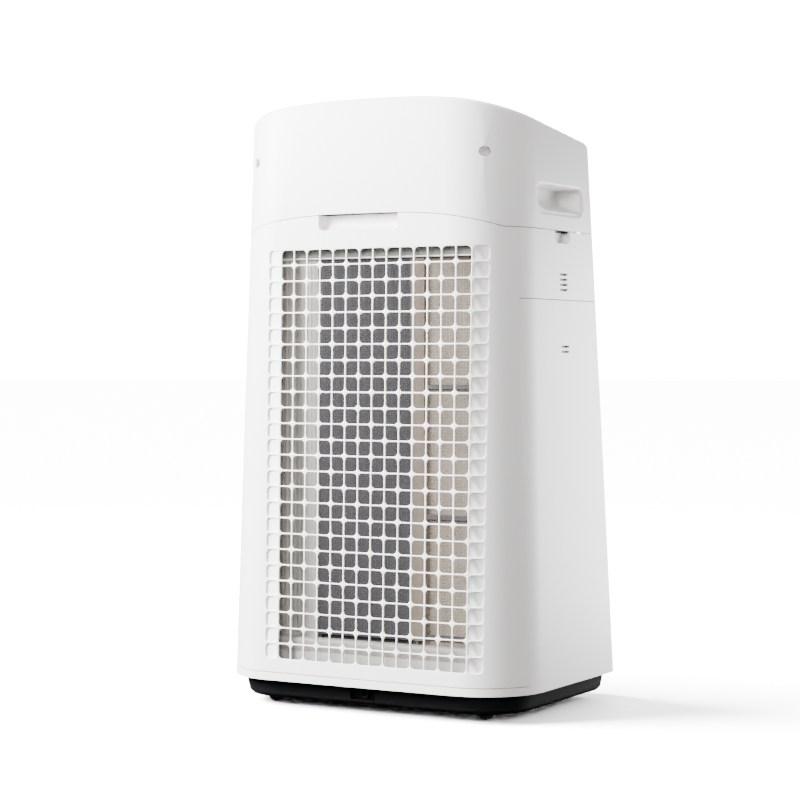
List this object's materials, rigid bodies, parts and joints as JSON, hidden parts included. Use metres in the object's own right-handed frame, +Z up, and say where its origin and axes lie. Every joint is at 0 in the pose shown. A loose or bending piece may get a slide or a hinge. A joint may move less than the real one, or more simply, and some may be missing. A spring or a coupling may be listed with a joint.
{
  "type": "air purifier",
  "caption": "Tapered white tower air purifier with a rear grille panel, side handle recesses, sloping top with louvers, and a black base on casters.",
  "frame": {"origin": "centre of the object's box at floor level, where its four wheels rest", "axes": "+Z up, +Y towards the rear grille panel, -Y towards the plain front, +X towards the side without sensor slots"},
  "size_m": [0.3852, 0.2789, 0.6776],
  "materials": {
    "white_abs": "satin moulded ABS",
    "button_abs": "satin moulded ABS",
    "panel_abs": "gloss moulded ABS",
    "base_abs": "fine-textured black ABS",
    "grey_abs": "moulded light grey ABS",
    "louver_abs": "satin moulded ABS",
    "particle_media": "pleated beige filter paper",
    "carbon_mesh": "dark grey mesh over carbon",
    "frame_grey": "dark grey frame",
    "fan_abs": "moulded grey ABS",
    "motor_steel": "black enamelled motor case",
    "zinc_steel": "zinc-plated steel",
    "smoked_acrylic": "smoked acrylic window",
    "circuit_board": "green solder mask",
    "wheel_rubber": "moulded rubber"
  },
  "bodies": {
    "root": {"air_duct": "fan_abs", "base_tray": "base_abs", "carbon_filter": "carbon_mesh", "carbon_frame": "frame_grey", "control_board": "circuit_board", "control_panel": "panel_abs", "cord_inlet": "base_abs", "display_window": "smoked_acrylic", "dust_sensor": "grey_abs", "fan_motor": "motor_steel", "fan_scroll": "fan_abs", "filter_bay": "grey_abs", "front_left_axle": "zinc_steel", "front_panel": "white_abs", "front_right_axle": "zinc_steel", "inlet_ring": "fan_abs", "ioniser": "grey_abs", "left_handle_cup": "white_abs", "main_housing": "white_abs", "motor_bracket": "zinc_steel", "odour_sensor": "grey_abs", "outlet_frame": "grey_abs", "panel_catch_left": "grey_abs", "panel_catch_right": "grey_abs", "particle_filter": "particle_media", "particle_frame": "frame_grey", "power_board": "circuit_board", "rear_left_axle": "zinc_steel", "rear_right_axle": "zinc_steel", "rear_screw_left": "zinc_steel", "rear_screw_right": "zinc_steel", "right_handle_cup": "white_abs", "side_guard": "grey_abs", "upper_housing": "white_abs"},
    "rear_panel": {"rear_panel": "white_abs", "pocket_cup": "white_abs"},
    "sensor_cover": {"sensor_cover": "white_abs"},
    "front_louver": {"front_louver": "louver_abs"},
    "rear_louver": {"rear_louver": "louver_abs"},
    "impeller": {"impeller": "fan_abs", "motor_shaft": "zinc_steel", "impeller_nut": "zinc_steel"},
    "power_button": {"power_button": "button_abs"},
    "mode_button": {"mode_button": "button_abs"},
    "speed_button": {"speed_button": "button_abs"},
    "timer_button": {"timer_button": "button_abs"},
    "lock_button": {"lock_button": "button_abs"},
    "rear_left_wheel": {"rear_left_wheel": "wheel_rubber"},
    "rear_right_wheel": {"rear_right_wheel": "wheel_rubber"},
    "front_left_wheel": {"front_left_wheel": "wheel_rubber"},
    "front_right_wheel": {"front_right_wheel": "wheel_rubber"}
  },
  "joints": [
    {"name": "rear_panel_tilt", "type": "hinge", "parent": "root", "child": "rear_panel", "pos_m": [0, 0.13815, 0.0402], "axis": [-1, 0, 0], "range_deg": [0, 18]},
    {"name": "sensor_cover_tilt", "type": "hinge", "parent": "root", "child": "sensor_cover", "pos_m": [-0.18084, 0, 0.4571], "axis": [0, -1, 0], "range_deg": [0, 35]},
    {"name": "front_louver_turn", "type": "hinge", "parent": "root", "child": "front_louver", "pos_m": [0, 0.0382, 0.65671], "axis": [-1, 0, 0], "range_deg": [0, 70]},
    {"name": "rear_louver_turn", "type": "hinge", "parent": "root", "child": "rear_louver", "pos_m": [0, 0.0736, 0.66118], "axis": [-1, 0, 0], "range_deg": [0, 70]},
    {"name": "impeller_spin", "type": "hinge", "parent": "root", "child": "impeller", "pos_m": [0, 0, 0.245], "axis": [0, 1, 0], "continuous": true},
    {"name": "power_press", "type": "slide", "parent": "root", "child": "power_button", "axis": [0, -0.1252, 0.9921], "range_m": [-0.0012, 0], "stiffness_N_per_m": 400},
    {"name": "mode_press", "type": "slide", "parent": "root", "child": "mode_button", "axis": [0, -0.1252, 0.9921], "range_m": [-0.0012, 0], "stiffness_N_per_m": 400},
    {"name": "speed_press", "type": "slide", "parent": "root", "child": "speed_button", "axis": [0, -0.1252, 0.9921], "range_m": [-0.0012, 0], "stiffness_N_per_m": 400},
    {"name": "timer_press", "type": "slide", "parent": "root", "child": "timer_button", "axis": [0, -0.1252, 0.9921], "range_m": [-0.0012, 0], "stiffness_N_per_m": 400},
    {"name": "lock_press", "type": "slide", "parent": "root", "child": "lock_button", "axis": [0, -0.1252, 0.9921], "range_m": [-0.0012, 0], "stiffness_N_per_m": 400},
    {"name": "rear_left_roll", "type": "hinge", "parent": "root", "child": "rear_left_wheel", "pos_m": [0.135, 0.092, 0.01], "axis": [0, 1, 0], "continuous": true},
    {"name": "rear_right_roll", "type": "hinge", "parent": "root", "child": "rear_right_wheel", "pos_m": [-0.135, 0.092, 0.01], "axis": [0, 1, 0], "continuous": true},
    {"name": "front_left_roll", "type": "hinge", "parent": "root", "child": "front_left_wheel", "pos_m": [0.135, -0.092, 0.01], "axis": [0, 1, 0], "continuous": true},
    {"name": "front_right_roll", "type": "hinge", "parent": "root", "child": "front_right_wheel", "pos_m": [-0.135, -0.092, 0.01], "axis": [0, 1, 0], "continuous": true}
  ],
  "couplings": [
    {"joint": "front_louver_turn", "follows": "rear_louver_turn", "ratio": 1}
  ]
}
